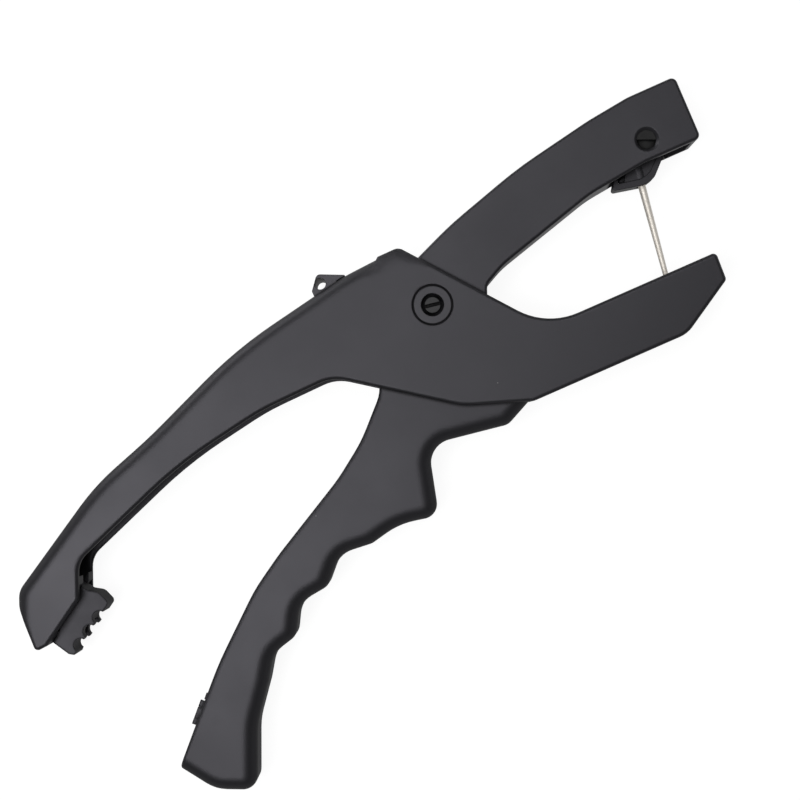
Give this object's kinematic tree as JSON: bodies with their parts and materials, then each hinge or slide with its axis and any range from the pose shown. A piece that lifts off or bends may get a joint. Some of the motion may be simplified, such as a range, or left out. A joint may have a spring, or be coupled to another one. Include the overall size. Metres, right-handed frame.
{
  "type": "ear tag applicator",
  "caption": "Plier-style livestock ear tag applicator in moulded black nylon, with a trigger handle, swinging steel tag pin, forked lower jaw and a sliding handle latch.",
  "frame": {"origin": "centre of the pivot on the far side face that the tool lies on", "axes": "+X along the jaws to the front, +Y up towards the upper jaw, +Z out of the near side face"},
  "size_m": [0.2709, 0.1602, 0.025],
  "materials": {
    "black_nylon": "matte, finely grained",
    "black_acetal": "satin",
    "bright_steel": "bright ground",
    "spring_steel": "drawn wire",
    "blackened_steel": "oil-blackened",
    "bearing_bronze": "sintered, oiled"
  },
  "bodies": {
    "frame": {"frame": "black_nylon", "lanyard_eye": "black_nylon", "pivot_pin": "bright_steel", "pivot_cap_front": "black_acetal", "pivot_cap_rear": "black_acetal", "pivot_screw": "blackened_steel", "return_spring": "spring_steel", "tag_clip": "spring_steel", "clip_rivet": "bright_steel"},
    "lever": {"lever": "black_nylon", "lever_bearing": "bearing_bronze", "latch_catch": "black_acetal", "carrier_axle": "blackened_steel", "axle_clips": "spring_steel", "carrier_spring": "spring_steel"},
    "carrier": {"pin_carrier": "black_nylon", "carrier_bush": "bearing_bronze", "tag_pin": "bright_steel", "pin_grub_screw": "blackened_steel"},
    "latch": {"latch_slider": "black_acetal"}
  },
  "joints": [
    {"name": "lever_pivot", "type": "hinge", "parent": "frame", "child": "lever", "pos_m": [0, 0, 0.0125], "axis": [0, 0, -1], "range_deg": [0, 18.5], "stiffness_Nm_per_rad": 1.5, "deforming": ["return_spring"]},
    {"name": "carrier_swing", "type": "hinge", "parent": "lever", "child": "carrier", "pos_m": [0.0873, 0.0219, 0.0125], "axis": [0, 0, 1], "range_deg": [0, 75], "stiffness_Nm_per_rad": 0.05, "deforming": ["carrier_spring"]},
    {"name": "latch_slide", "type": "slide", "parent": "frame", "child": "latch", "axis": [0.848, 0.5299, 0], "range_m": [0, 0.004]}
  ]
}
